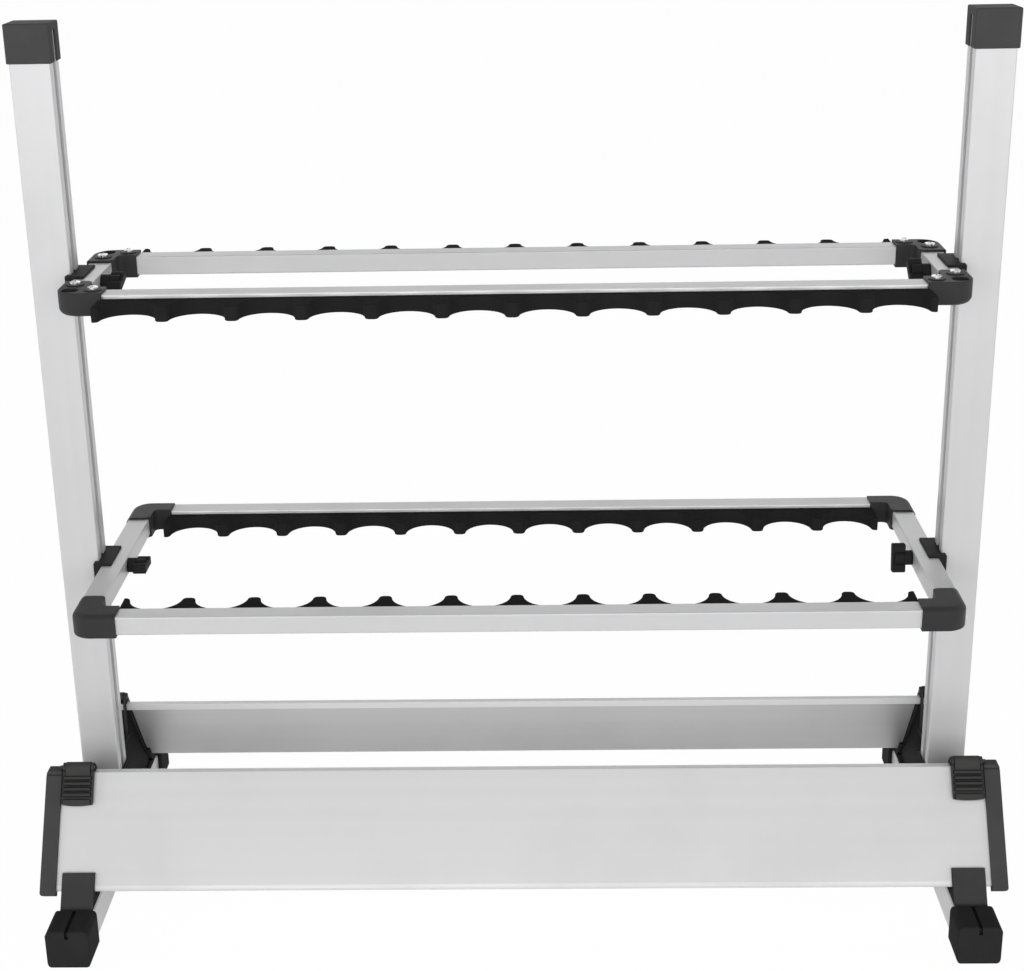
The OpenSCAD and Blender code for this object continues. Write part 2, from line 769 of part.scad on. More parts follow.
// A corner fitting's body, with its outer corner over the origin and its smooth side at z = 0.
module corner_body() {
    wide_x = tube_w + 2 * corner_side_wall;
    wide_y = tube_w + corner_front_wall + corner_inner_wall;
    fillet = 4;
    difference() {
        union() {
            along_x(-corner_x, -corner_plan_r) arm_section(wide_y);
            along_y(-corner_y, -corner_plan_r) arm_section(wide_x);
            translate([-corner_plan_r, -corner_plan_r, 0]) rotate_extrude(angle = 90)
                translate([corner_plan_r, 0]) arm_section(corner_plan_r);
            translate([-wide_x - fillet, -wide_y - fillet, 0])
                linear_extrude(tube_h + 2 * corner_skin) difference() {
                    square(fillet + 0.5);
                    circle(fillet);
                }
        }
        // Inner corner of the arm's end
        translate([corner_arm_r - wide_x, corner_arm_r - corner_y, -cut])
            linear_extrude(tube_h + 2 * corner_skin + 2 * cut) difference() {
                translate([-corner_arm_r - cut, -corner_arm_r - cut]) square(corner_arm_r + cut);
                circle(corner_arm_r);
            }
    }
}

module corner(f, side, end) {
    half = tube_h / 2 + corner_skin;
    tube_box = [tube_w + 2 * sleeve_gap, tube_h + 2 * sleeve_gap];
    color(plastic) placed(side, end)
        translate([corner_out, f[1] + corner_front_wall, frame_mid(f)])
            scale([1, 1, f[3]]) difference() {
                union() {
                    translate([0, 0, -half]) corner_body();
                    for (at = [[rail_screw_x - corner_out, -corner_front_wall - tube_w / 2],
                               [tube_x - corner_out, -corner_front_wall - tube_screw_y]])
                        translate([at.x, at.y, half - 0.5]) cylinder(h = boss_h + 0.5, d = boss_d);
                }
                // Sleeves for the rail and the end tube
                along_x(-corner_x - cut, rail_end + sleeve_gap - corner_out)
                    translate([-corner_front_wall - tube_w / 2, 0])
                        rounded_rect(tube_box.x, tube_box.y, tube_r);
                along_y(-corner_y - cut, -corner_front_wall - tube_set_back + sleeve_gap)
                    translate([tube_x - corner_out, 0]) rounded_rect(tube_box.x, tube_box.y, tube_r);
                // Pocket in the screw side
                translate([-corner_pocket_edge - corner_pocket / 2,
                           -corner_pocket_edge - corner_pocket / 2, half - corner_pocket_d])
                    linear_extrude(corner_pocket_d + cut)
                        rounded_rect(corner_pocket, corner_pocket, corner_pocket_r);
                // Screw holes
                for (at = [[rail_screw_x - corner_out, -corner_front_wall - tube_w / 2],
                           [tube_x - corner_out, -corner_front_wall - tube_screw_y]])
                    translate([at.x, at.y, 0]) cylinder(h = half + boss_h + cut, d = shank_d + 2 * turn_gap);
            }
}

module corner_screws(f) {
    seat = tube_h / 2 + corner_skin + boss_h;
    color(steel) for (side = [-1, 1], end = [-1, 1]) placed(side, end)
        for (at = [[rail_screw_x, f[1] - tube_w / 2], [tube_x, f[1] - tube_screw_y]])
            translate([at.x, at.y, frame_mid(f)])
                rotate([f[3] > 0 ? 0 : 180, 0, 0]) translate([0, 0, seat]) pan_head_screw();
}

// A rod strip in plan: x along the rail, y out from the rail's face.
module strip_plan() {
    foot_end = corner_end - 0.5;
    step = corner_front_wall + 1;
    flare = step + strip_end - foot_end;
    difference() {
        polygon([[-foot_end, 0], [foot_end, 0], [foot_end, step], [strip_end, flare],
                 [strip_end, strip_reach], [-strip_end, strip_reach], [-strip_end, flare],
                 [-foot_end, step]]);
        for (i = [0:notch_count - 1])
            translate([(i + 0.5 - notch_count / 2) * strip_pitch, strip_reach - notch_side]) {
                circle(notch_r, $fn = 96);
                translate([-notch_r, 0]) square([2 * notch_r, notch_side + cut]);
            }
        // Rounded corners of the teeth beside each notch
        for (i = [0:notch_count - 1], s = [-1, 1])
            translate([(i + (1 - s) / 2 - notch_count / 2) * strip_pitch + s * (tooth_tip / 2 - tooth_r),
                       strip_reach - tooth_r])
                difference() {
                    translate([s > 0 ? 0 : -tooth_r - cut, 0]) square([tooth_r + cut, tooth_r + cut]);
                    circle(tooth_r);
                }
    }
}

module strip(f, end) {
    top = f[0] - strip_drop;
    tongue_h = groove_h - 2 * tongue_gap;
    tongue_d = groove_d - tongue_gap;
    color(strip_black) placed(1, end) translate([0, strip_face(f), 0]) scale([1, f[2], 1]) {
        translate([0, 0, top - strip_t]) linear_extrude(strip_t) translate([0, sleeve_gap]) strip_plan();
        box([-corner_end + 1, -tongue_d, frame_mid(f) - tongue_h / 2],
            [corner_end - 1, cut, frame_mid(f) + tongue_h / 2]);
    }
}

module clamp(f, side) {
    lip_in = clamp_in - clamp_reach;
    half = tube_h / 2 + sleeve_gap;
    tall = 2 * (half + clamp_lip);
    cheek_y = upright_d / 2 + swing_gap;
    web_out = clamp_in + clamp_web;
    color(plastic) placed(side) translate([0, 0, frame_mid(f)]) difference() {
        union() {
            translate([(lip_in + web_out) / 2, 0, 0])
                soft_block([web_out - lip_in, clamp_l, tall], 0.8);
            for (s = [-1, 1])
                translate([(clamp_in + web_out + clamp_cheek) / 2, s * (clamp_l / 2 + cheek_y) / 2, 0])
                    soft_block([web_out + clamp_cheek - clamp_in, clamp_l / 2 - cheek_y, tall], 0.6);
            box([web_out - cut, -slot_w / 2 + slide_gap, -tall / 2 + 0.5],
                [upright_in + slot_lip - 0.2, slot_w / 2 - slide_gap, tall / 2 - 0.5]);
        }
        box([lip_in - cut, -clamp_l / 2 - cut, -half], [clamp_in, clamp_l / 2 + cut, half]);
        bore_x(clamp_in - cut, upright_in + slot_lip + cut, 0, 0, bolt_d + 2 * turn_gap);
    }
}

module t_nuts(f) {
    from = upright_in + slot_lip + slide_gap;
    color(steel) for (side = [-1, 1]) placed(side) difference() {
        box([from, slide_gap - channel_w / 2, frame_mid(f) - t_nut_l / 2],
            [from + t_nut_t, channel_w / 2 - slide_gap, frame_mid(f) + t_nut_l / 2]);
        bore_x(from - cut, from + t_nut_t + cut, 0, frame_mid(f), bolt_d + 2 * turn_gap);
    }
}

// A knob's wing, seen along its bolt: two round lobes and a narrower waist.
module wing_outline() {
    for (s = [-1, 1])
        translate([s * (wing_l - wing_t) / 2, 0]) circle(wing_t / 2);
    square([wing_l - wing_t, wing_waist], center = true);
}

// A knob with a two-lobed wing, turned about the bolt from level.
module knob(f, side, turn) {
    hub_in = tube_in - swing_gap - hub_t;
    color(plastic) placed(side) translate([0, 0, frame_mid(f)]) rotate([turn, 0, 0]) difference() {
        union() {
            bore_x(hub_in - cut, hub_in + hub_t, 0, 0, hub_d);
            translate([hub_in - wing_d / 2, 0, 0]) intersection() {
                soft_block([wing_d, wing_l + 1, wing_t + 1], wing_r);
                along_x(-wing_d, wing_d) wing_outline();
            }
            bore_x(hub_in - wing_d + 2.4, hub_in, 0, 0, hub_d - 1);
        }
        bore_x(hub_in - 8, hub_in + hub_t + cut, 0, 0, bolt_d + 2 * turn_gap);
    }
}

module bolt(f, side) {
    hub_in = tube_in - swing_gap - hub_t;
    color(steel) placed(side)
        bore_x(hub_in - 7.8, upright_in + slot_lip + channel_d - 0.4, 0, frame_mid(f), bolt_d);
}

upright(-1);  // left_upright
upright(1);  // right_upright
upright_cap(-1);  // left_upright_cap
upright_cap(1);  // right_upright_cap
side_bracket(-1);  // left_side_bracket
side_bracket(1);  // right_side_bracket
foot_bar(-1);  // left_foot_bar
foot_bar(1);  // right_foot_bar
foot(-1, -1);  // front_left_foot
foot(1, -1);  // front_right_foot
foot(-1, 1);  // rear_left_foot
foot(1, 1);  // rear_right_foot
panel(-1);  // front_panel
panel(1);  // rear_panel
end_cap(-1, -1);  // front_left_end_cap
end_cap(1, -1);  // front_right_end_cap
end_cap(-1, 1);  // rear_left_end_cap
end_cap(1, 1);  // rear_right_end_cap
bracket_screws();
latch_pins();
latch(-1, -1);  // front_left_latch
latch(1, -1);  // front_right_latch
latch(-1, 1);  // rear_left_latch
latch(1, 1);  // rear_right_latch

rail(UPPER, -1);  // upper_front_rail
rail(UPPER, 1);  // upper_rear_rail
end_tube(UPPER, -1);  // upper_left_end_tube
end_tube(UPPER, 1);  // upper_right_end_tube
corner(UPPER, -1, -1);  // upper_front_left_corner
corner(UPPER, 1, -1);  // upper_front_right_corner
corner(UPPER, -1, 1);  // upper_rear_left_corner
corner(UPPER, 1, 1);  // upper_rear_right_corner
strip(UPPER, -1);  // upper_front_strip
strip(UPPER, 1);  // upper_rear_strip
corner_screws(UPPER);  // upper_corner_screws
clamp(UPPER, -1);  // upper_left_clamp
clamp(UPPER, 1);  // upper_right_clamp
t_nuts(UPPER);  // upper_t_nuts
knob(UPPER, -1, upper_left_turn);  // upper_left_knob
knob(UPPER, 1, upper_right_turn);  // upper_right_knob
bolt(UPPER, -1);  // upper_left_bolt
bolt(UPPER, 1);  // upper_right_bolt

rail(LOWER, -1);  // lower_front_rail
rail(LOWER, 1);  // lower_rear_rail
end_tube(LOWER, -1);  // lower_left_end_tube
end_tube(LOWER, 1);  // lower_right_end_tube
corner(LOWER, -1, -1);  // lower_front_left_corner
corner(LOWER, 1, -1);  // lower_front_right_corner
corner(LOWER, -1, 1);  // lower_rear_left_corner
corner(LOWER, 1, 1);  // lower_rear_right_corner
strip(LOWER, -1);  // lower_front_strip
strip(LOWER, 1);  // lower_rear_strip
corner_screws(LOWER);  // lower_corner_screws
clamp(LOWER, -1);  // lower_left_clamp
clamp(LOWER, 1);  // lower_right_clamp
t_nuts(LOWER);  // lower_t_nuts
knob(LOWER, -1, lower_left_turn);  // lower_left_knob
knob(LOWER, 1, lower_right_turn);  // lower_right_knob
bolt(LOWER, -1);  // lower_left_bolt
bolt(LOWER, 1);  // lower_right_bolt
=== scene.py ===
import math

import bmesh
import bpy
from mathutils import Matrix, Vector, noise


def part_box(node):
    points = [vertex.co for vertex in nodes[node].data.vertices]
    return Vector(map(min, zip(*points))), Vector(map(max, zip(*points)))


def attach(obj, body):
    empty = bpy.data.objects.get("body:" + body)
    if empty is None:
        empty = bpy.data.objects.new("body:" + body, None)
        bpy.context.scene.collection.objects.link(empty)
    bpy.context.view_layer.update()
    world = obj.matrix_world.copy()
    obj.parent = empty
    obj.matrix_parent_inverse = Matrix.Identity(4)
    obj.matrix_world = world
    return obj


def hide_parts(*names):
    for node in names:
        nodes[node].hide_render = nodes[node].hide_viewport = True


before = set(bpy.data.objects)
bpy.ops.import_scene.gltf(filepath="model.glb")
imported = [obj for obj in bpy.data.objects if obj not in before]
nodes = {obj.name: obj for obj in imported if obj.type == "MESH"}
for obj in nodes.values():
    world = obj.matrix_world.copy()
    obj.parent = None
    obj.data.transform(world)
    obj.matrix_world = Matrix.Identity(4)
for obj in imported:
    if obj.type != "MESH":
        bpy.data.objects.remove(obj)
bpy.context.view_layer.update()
scene = bpy.context.scene


# The camera stands 1.3 m in front of the rack's middle, a little above its uprights, and looks
# down on it. Its place, turn and lens were solved from the rack's own edges in the photograph.
EYE = Vector((0.0196, -1.3050, 0.7931))
LOOK_DOWN = math.radians(19.62)
LOOK_LEFT = math.radians(1.434)
ROLL = math.radians(-1.092)
SENSOR = 36.0
LENS = 64.30
SIDE_SHIFT = 0.0121
RISE_SHIFT = -0.0071
NEAREST = 0.02
FARTHEST = 60

camera = bpy.data.objects.new("camera", bpy.data.cameras.new("camera"))
camera.data.sensor_width = SENSOR
camera.data.sensor_fit = "HORIZONTAL"
camera.data.lens = LENS
camera.data.shift_x = SIDE_SHIFT
camera.data.shift_y = RISE_SHIFT
camera.data.clip_start = NEAREST
camera.data.clip_end = FARTHEST
camera.matrix_world = (Matrix.Translation(EYE)
                       @ Matrix.Rotation(LOOK_LEFT, 4, "Z")
                       @ Matrix.Rotation(math.pi / 2 - LOOK_DOWN, 4, "X")
                       @ Matrix.Rotation(ROLL, 4, "Z"))
scene.collection.objects.link(camera)
scene.camera = camera


# The rack stands on a plain pale floor in a white surround, with soft boxes on four sides. The
# surround gives less light overhead, as a studio's dark ceiling does, so level tops stay greyer
# than fronts. The floor and the surround look white to the camera, and the floor keeps a shadow.
FLOOR_COLOUR = (0.86, 0.86, 0.86, 1)
FLOOR_REACH = 9
FLOOR_GLOW = 0.93
GLOW_STRENGTH = 1.05
WHITE = (1, 1, 1, 1)
HORIZON_LIGHT = 0.56
CEILING_LIGHT = 0.01
CEILING_RISE = 0.9
SOFT_BOXES = {
    "front_soft_box": ((0.0, -2.8, 0.9), (3.2, 1.6), 34),
    "left_soft_box": ((-2.2, -0.9, 0.8), (1.0, 1.4), 6),
    "right_soft_box": ((2.2, -0.6, 0.8), (1.0, 1.4), 4),
    "rear_soft_box": ((0.0, 2.4, 1.6), (2.4, 1.0), 5),
}
AIM = Vector((0, 0, 0.3))


def node_adder(tree):
    """Returns a function that adds a node, sets its properties, and fills or links its inputs.

    An input is given by its name, such as Base_Color, or by its number, such as _0.
    """
    def add(kind, settings=None, **inputs):
        made = tree.nodes.new("ShaderNode" + kind)
        for key, value in (settings or {}).items():
            setattr(made, key, value)
        for key, value in inputs.items():
            socket = made.inputs[int(key[1:]) if key[0] == "_" else key.replace("_", " ")]
            if isinstance(value, bpy.types.NodeSocket):
                tree.links.new(value, socket)
            else:
                socket.default_value = value
        return made
    return add


def shader_tree(owner):
    """Empties an owner's node tree and returns a function that adds a node to it."""
    owner.use_nodes = True
    owner.node_tree.nodes.clear()
    return node_adder(owner.node_tree)


def seen_rays(add):
    """One for what the camera sees, directly, in a mirror or through glass, and zero for light."""
    ray = add("LightPath").outputs
    mirrored = add("Math", {"operation": "MAXIMUM"}, _0=ray["Is Camera Ray"], _1=ray["Is Glossy Ray"])
    seen = add("Math", {"operation": "MAXIMUM"}, _0=mirrored.outputs[0], _1=ray["Is Transmission Ray"])
    return seen.outputs[0]


surround = bpy.data.worlds.new("surround")
add = shader_tree(surround)
up = add("SeparateXYZ", _0=add("TexCoord").outputs["Generated"]).outputs["Z"]
level = add("MapRange", Value=up, From_Min=0.0, From_Max=CEILING_RISE,
            To_Min=HORIZON_LIGHT, To_Max=CEILING_LIGHT)
lit = add("Background", Color=WHITE, Strength=level.outputs["Result"])
seen = add("Background", Color=WHITE, Strength=1.0)
mixed = add("MixShader", _0=seen_rays(add), _1=lit.outputs[0], _2=seen.outputs[0])
add("OutputWorld", Surface=mixed.outputs[0])
scene.world = surround

floor_corners = [(x * FLOOR_REACH, y * FLOOR_REACH, 0) for x, y in ((-1, -1), (1, -1), (1, 1), (-1, 1))]
floor_mesh = bpy.data.meshes.new("floor")
floor_mesh.from_pydata(floor_corners, [], [(0, 1, 2, 3)])
floor = bpy.data.objects.new("floor", floor_mesh)
scene.collection.objects.link(floor)
floor_paper = bpy.data.materials.new("floor_paper")
add = shader_tree(floor_paper)
paper = add("BsdfDiffuse", Color=FLOOR_COLOUR)
glow = add("Emission", Color=WHITE, Strength=GLOW_STRENGTH)
share = add("Math", {"operation": "MULTIPLY"}, _0=seen_rays(add), _1=FLOOR_GLOW)
mixed = add("MixShader", _0=share.outputs[0], _1=paper.outputs[0], _2=glow.outputs[0])
add("OutputMaterial", Surface=mixed.outputs[0])
floor_mesh.materials.append(floor_paper)

for name, (place, size, power) in SOFT_BOXES.items():
    lamp = bpy.data.lights.new(name, "AREA")
    lamp.shape = "RECTANGLE"
    lamp.size, lamp.size_y = size
    lamp.energy = power
    box = bpy.data.objects.new(name, lamp)
    box.location = place
    box.rotation_euler = (AIM - Vector(place)).to_track_quat("-Z", "Y").to_euler()
    box.visible_camera = False
    scene.collection.objects.link(box)

scene.view_settings.view_transform = "Standard"


# The two uprights are slotted aluminium extrusions with a satin anodised skin. The die leaves
# faint lines along them, handling leaves slightly duller patches, their edges get a painted
# highlight, and their slots get painted shade.
ANODISED = (0.79, 0.79, 0.80)
ANODISED_METAL = 0.20
ANODISED_ROUGH = 0.38
HANDLED_ROUGH = 0.47
HANDLED_PATCHES = 7.0
HANDLED_TINT = (0.965, 0.965, 0.96, 1)
LINE_PALE = 1.03
LINE_GREY = 0.965
LINE_BUMP = 0.10
LINE_HEIGHT = 0.00006
# Painted highlights on edges and lips, and painted shade in slots:
EDGE_HIGHLIGHT = (0.92, 0.92, 0.925, 1)
EDGE_ROUND = 0.0006
EDGE_HIGHLIGHT_SHARE = 0.6
LIP_HIGHLIGHT = (0.97, 0.97, 0.97, 1)
SLOT_SHADE = (0.05, 0.05, 0.052, 1)
SLOT_HOLLOW = {"Size": 0.008, "Open": 0.56, "Deep": 0.22}
ACROSS_LINES = 700
ALONG_LINES = 5
SIDES = ("left", "right")


def effect_group(name, inputs, outputs):
    """Starts a node group with named inputs and outputs; returns it, its adder and its ends."""
    group = bpy.data.node_groups.new(name, "ShaderNodeTree")
    for label, kind, value in inputs:
        socket = group.interface.new_socket(label, in_out="INPUT", socket_type="NodeSocket" + kind)
        socket.default_value = value
    for label, kind in outputs:
        group.interface.new_socket(label, in_out="OUTPUT", socket_type="NodeSocket" + kind)
    given = group.nodes.new("NodeGroupInput").outputs
    made = group.nodes.new("NodeGroupOutput").inputs
    return group, node_adder(group), given, made


# Fine lines along one direction, given as how many noise cells a metre holds each way.
die_lines, add, given, made = effect_group(
    "die_lines", [("Cells", "Vector", (900, 900, 6))], [("Height", "Float"), ("Shade", "Float")])
spot = add("TexCoord").outputs["Object"]
where = add("VectorMath", {"operation": "MULTIPLY"}, _0=spot, _1=given["Cells"])
fine = add("TexNoise", Vector=where.outputs[0], Scale=1.0, Detail=3.0, Roughness=0.6)
broad_place = add("VectorMath", {"operation": "SCALE"}, _0=where.outputs[0], Scale=0.13)
broad = add("TexNoise", Vector=broad_place.outputs[0], Scale=1.0, Detail=2.0)
die_lines.links.new(fine.outputs[0], made["Height"])
die_lines.links.new(broad.outputs[0], made["Shade"])

# Soft patches where hands and dust have changed the skin: 0 is untouched, 1 is the most.
handling, add, given, made = effect_group(
    "handling", [("Patches", "Float", 9.0)], [("Mask", "Float")])
spot = add("TexCoord").outputs["Object"]
cloud = add("TexNoise", Vector=spot, Scale=given["Patches"], Detail=5.0, Roughness=0.62)
shaped = add("MapRange", {"interpolation_type": "SMOOTHSTEP"}, Value=cloud.outputs[0],
             From_Min=0.42, From_Max=0.72)
handling.links.new(shaped.outputs["Result"], made["Mask"])

# Rounds an edge's shading, as tumbling and moulding leave it, by a radius in metres. Its Edge
# mask, 1 on the rounding, places the painted edge highlight.
soft_edge, add, given, made = effect_group(
    "soft_edge", [("Radius", "Float", 0.0005)], [("Normal", "Vector"), ("Edge", "Float")])
rounded = add("Bevel", {"samples": 4}, Radius=given["Radius"])
plain = add("NewGeometry")
turned = add("VectorMath", {"operation": "DOT_PRODUCT"}, _0=rounded.outputs[0],
             _1=plain.outputs["Normal"])
edge = add("MapRange", Value=turned.outputs["Value"], From_Min=1.0, From_Max=0.85)
soft_edge.links.new(rounded.outputs[0], made["Normal"])
soft_edge.links.new(edge.outputs["Result"], made["Edge"])

# A mask for painted shade in slots, hollows and the roots of ribs: 1 is deep in a hollow of the
# given size. Open and Deep are the shares of open sky at which it starts and ends.
hollows, add, given, made = effect_group(
    "hollows", [("Size", "Float", 0.003), ("Open", "Float", 0.8), ("Deep", "Float", 0.3)],
    [("Mask", "Float")])
sky = add("AmbientOcclusion", {"samples": 8}, Distance=given["Size"])
deep = add("MapRange", Value=sky.outputs["AO"], From_Min=given["Open"], From_Max=given["Deep"])
hollows.links.new(deep.outputs["Result"], made["Mask"])

# A mask for the painted highlight on the lip of a hem or groove: 1 within a hair of a plane
# along the rack, which is given by its distance from the rack's middle.
lip_highlight_mask, add, given, made = effect_group(
    "lip_highlight_mask", [("Plane", "Float", 0.05), ("Width", "Float", 0.0015)], [("Mask", "Float")])
across = add("SeparateXYZ", _0=add("TexCoord").outputs["Object"]).outputs["Y"]
distance = add("Math", {"operation": "ABSOLUTE"}, _0=across)
apart = add("Math", {"operation": "SUBTRACT"}, _0=distance.outputs[0], _1=given["Plane"])
apart = add("Math", {"operation": "ABSOLUTE"}, _0=apart.outputs[0])
near = add("MapRange", {"interpolation_type": "SMOOTHSTEP"}, Value=apart.outputs[0],
           From_Min=given["Width"], From_Max=0.0001)
lip_highlight_mask.links.new(near.outputs["Result"], made["Mask"])


def place_group(add, group, **inputs):
    """Places an effect group in a material with its own values, and returns its outputs."""
    made = add("Group", {"node_tree": group})
    for key, value in inputs.items():
        made.inputs[key].default_value = value
    return made.outputs


def shade(colour, share):
    """A paler or darker shade of a colour, ready for a colour socket."""
    return tuple(min(1, channel * share) for channel in colour) + (1,)


def laid_over(add, share, below, above, blend="MIX"):
    """Lays one colour over another by a share, and returns the colour that results."""
    mix = add("Mix", {"data_type": "RGBA", "blend_type": blend}, _0=share, _6=below, _7=above)
    return mix.outputs[2]


def anodised(name, cells, colour=ANODISED, lip_plane=None):
    """Satin anodised aluminium whose die lines run the way that has the fewest cells, with painted
    highlights on edges and lips and painted shade in slots.
    """
    material = bpy.data.materials.new(name)
    add = shader_tree(material)
    lines = place_group(add, die_lines, Cells=cells)
    patches = place_group(add, handling, Patches=HANDLED_PATCHES)
    edge = place_group(add, soft_edge, Radius=EDGE_ROUND)
    slots = place_group(add, hollows, **SLOT_HOLLOW)
    skin = laid_over(add, lines["Shade"], shade(colour, LINE_GREY), shade(colour, LINE_PALE))
    skin = laid_over(add, patches["Mask"], skin, HANDLED_TINT, "MULTIPLY")
    # A painted highlight along the edges.
    edge_highlight = add("Math", {"operation": "MULTIPLY"}, _0=edge["Edge"], _1=EDGE_HIGHLIGHT_SHARE)
    skin = laid_over(add, edge_highlight.outputs[0], skin, EDGE_HIGHLIGHT)
    # A painted highlight on the lip, where one is given.
    if lip_plane is not None:
        lip = place_group(add, lip_highlight_mask, Plane=lip_plane)
        skin = laid_over(add, lip["Mask"], skin, LIP_HIGHLIGHT)
    # Painted shade in the slots.
    skin = laid_over(add, slots["Mask"], skin, SLOT_SHADE)
    roughness = add("MapRange", Value=patches["Mask"], To_Min=ANODISED_ROUGH, To_Max=HANDLED_ROUGH)
    bump = add("Bump", Strength=LINE_BUMP, Distance=LINE_HEIGHT, Height=lines["Height"],
               Normal=edge["Normal"])
    shader = add("BsdfPrincipled", Base_Color=skin, Metallic=ANODISED_METAL,
                 Roughness=roughness.outputs["Result"], Normal=bump.outputs[0])
    add("OutputMaterial", Surface=shader.outputs[0])
    return material


def finish_nodes(material, *names):
    """Gives CAD nodes a material in place of their plain one."""
    for name in names:
        mesh = nodes[name].data
        mesh.materials.clear()
        mesh.materials.append(material)


drawn_up = (ACROSS_LINES, ACROSS_LINES, ALONG_LINES)
finish_nodes(anodised("anodised_upright", drawn_up), *[f"{s}_upright" for s in SIDES])


# The two foot bars are plain rectangular tubes of the same anodised aluminium. They lie front to
# rear under the uprights, so their die lines do too.
drawn_back = (ACROSS_LINES, ALONG_LINES, ACROSS_LINES)
finish_nodes(anodised("anodised_foot_bar", drawn_back), *[f"{s}_foot_bar" for s in SIDES])


# Caps, end caps, corner fittings, clamps and knobs are injection-moulded black plastic with a
# fine matt grain, a painted highlight along their edges, painted shade in their hollows, and a
# little dust. They are pushed or screwed onto the aluminium.
CAP_BLACK = (0.094, 0.094, 0.0945)
CORNER_BLACK = (0.042, 0.042, 0.043)
CLAMP_BLACK = (0.030, 0.030, 0.031)
GRAIN_DARK = 0.82
GRAIN_PALE = 1.22
GRAIN_CELLS = 1800.0
GRAIN_BUMP = 0.25
GRAIN_HEIGHT = 0.00008
FLOW_CELLS = 38.0
# The painted edge highlight and the painted shade in hollows:
MOULD_HIGHLIGHT = 2.2
MOULD_HIGHLIGHT_SHARE = 0.30
MOULD_EDGE_ROUND = 0.0007
HOLLOW_SHADE = 0.15
PLAIN_HOLLOW = {"Size": 0.003, "Open": 0.80, "Deep": 0.35}
DUST_ROUGH = 0.12
DUST_PATCHES = 16.0
ENDS = ("front", "rear")
FRAMES = ("upper", "lower")

# A fine leathery grain, as spark-eroded moulds leave it, by how many cells a metre holds.
mould_grain, add, given, made = effect_group(
    "mould_grain", [("Cells", "Float", GRAIN_CELLS)], [("Height", "Float"), ("Shade", "Float")])
spot = add("TexCoord").outputs["Object"]
grain = add("TexNoise", Vector=spot, Scale=given["Cells"], Detail=2.0, Roughness=0.7)
flow = add("TexNoise", Vector=spot, Scale=FLOW_CELLS, Detail=4.0, Roughness=0.6)
mould_grain.links.new(grain.outputs[0], made["Height"])
mould_grain.links.new(flow.outputs[0], made["Shade"])

# A mask for painted shade on faces that look in along the rack, to its middle; 1 is straight in.
inner_walls, add, given, made = effect_group("inner_walls", [], [("Mask", "Float")])
spot = add("TexCoord").outputs
along = add("SeparateXYZ", _0=spot["Object"]).outputs["X"]
side = add("Math", {"operation": "SIGN"}, _0=along)
lean = add("SeparateXYZ", _0=spot["Normal"]).outputs["X"]
inward = add("Math", {"operation": "MULTIPLY"}, _0=side.outputs[0], _1=lean)
faced = add("MapRange", Value=inward.outputs[0], From_Min=-0.3, From_Max=-0.8)
inner_walls.links.new(faced.outputs["Result"], made["Mask"])


def moulded(name, colour, rough, specular, cells=GRAIN_CELLS, bump_strength=GRAIN_BUMP,
            edge_radius=MOULD_EDGE_ROUND, hollow=PLAIN_HOLLOW, inner_shade=None):
    """Grained moulding in one colour, with a painted highlight along its edges and painted shade in its
    hollows.
    """
    material = bpy.data.materials.new(name)
    add = shader_tree(material)
    grain = place_group(add, mould_grain, Cells=cells)
    patches = place_group(add, handling, Patches=DUST_PATCHES)
    edge = place_group(add, soft_edge, Radius=edge_radius)
    deep = place_group(add, hollows, **hollow)
    skin = laid_over(add, grain["Shade"], shade(colour, GRAIN_DARK), shade(colour, GRAIN_PALE))
    # Painted shade on the inner walls.
    if inner_shade:
        inner = place_group(add, inner_walls)
        skin = laid_over(add, inner["Mask"], skin, inner_shade)
    # A painted highlight along the edges.
    highlight = add("Math", {"operation": "MULTIPLY"}, _0=edge["Edge"], _1=MOULD_HIGHLIGHT_SHARE)
    skin = laid_over(add, highlight.outputs[0], skin, shade(colour, MOULD_HIGHLIGHT))
    # Painted shade in the hollows.
    skin = laid_over(add, deep["Mask"], skin, shade(colour, HOLLOW_SHADE))
    roughness = add("MapRange", Value=patches["Mask"], To_Min=rough, To_Max=min(1, rough + DUST_ROUGH))
    bump = add("Bump", Strength=bump_strength, Distance=GRAIN_HEIGHT, Height=grain["Height"],
               Normal=edge["Normal"])
    shader = add("BsdfPrincipled", Base_Color=skin, Roughness=roughness.outputs["Result"],
                 Normal=bump.outputs[0], Specular_IOR_Level=specular)
    add("OutputMaterial", Surface=shader.outputs[0])
    return material


finish_nodes(moulded("cap_plastic", CAP_BLACK, rough=0.56, specular=0.03),
             *[f"{s}_upright_cap" for s in SIDES],
             *[f"{e}_{s}_end_cap" for e in ENDS for s in SIDES])
finish_nodes(moulded("corner_plastic", CORNER_BLACK, rough=0.50, specular=0.18),
             *[f"{f}_{e}_{s}_corner" for f in FRAMES for e in ENDS for s in SIDES])
finish_nodes(moulded("clamp_plastic", CLAMP_BLACK, rough=0.54, specular=0.05),
             *[f"{f}_{s}_{part}" for f in FRAMES for s in SIDES for part in ("clamp", "knob")])


# The four latches are moulded grips that hook over the panels' hems and turn on pins. Each has a
# row of ribs for the thumb, with painted shade between the ribs.
LATCH_BLACK = (0.074, 0.073, 0.072)
RIB_ROOTS = {"Size": 0.0032, "Open": 0.96, "Deep": 0.72}
finish_nodes(moulded("latch_plastic", LATCH_BLACK, rough=0.50, specular=0.06, hollow=RIB_ROOTS),
             *[f"{e}_{s}_latch" for e in ENDS for s in SIDES])


# The side brackets are glass-filled nylon, screwed to the uprights and the foot bars. Their inner
# walls, out of the light between the panels, get painted shade.
BRACKET_BLACK = (0.074, 0.074, 0.075)
INNER_SHADE = (0.006, 0.006, 0.006, 1)
bracket_plastic = moulded("bracket_plastic", BRACKET_BLACK, rough=0.66, specular=0.05,
                          inner_shade=INNER_SHADE)
finish_nodes(bracket_plastic, *[f"{s}_side_bracket" for s in SIDES])


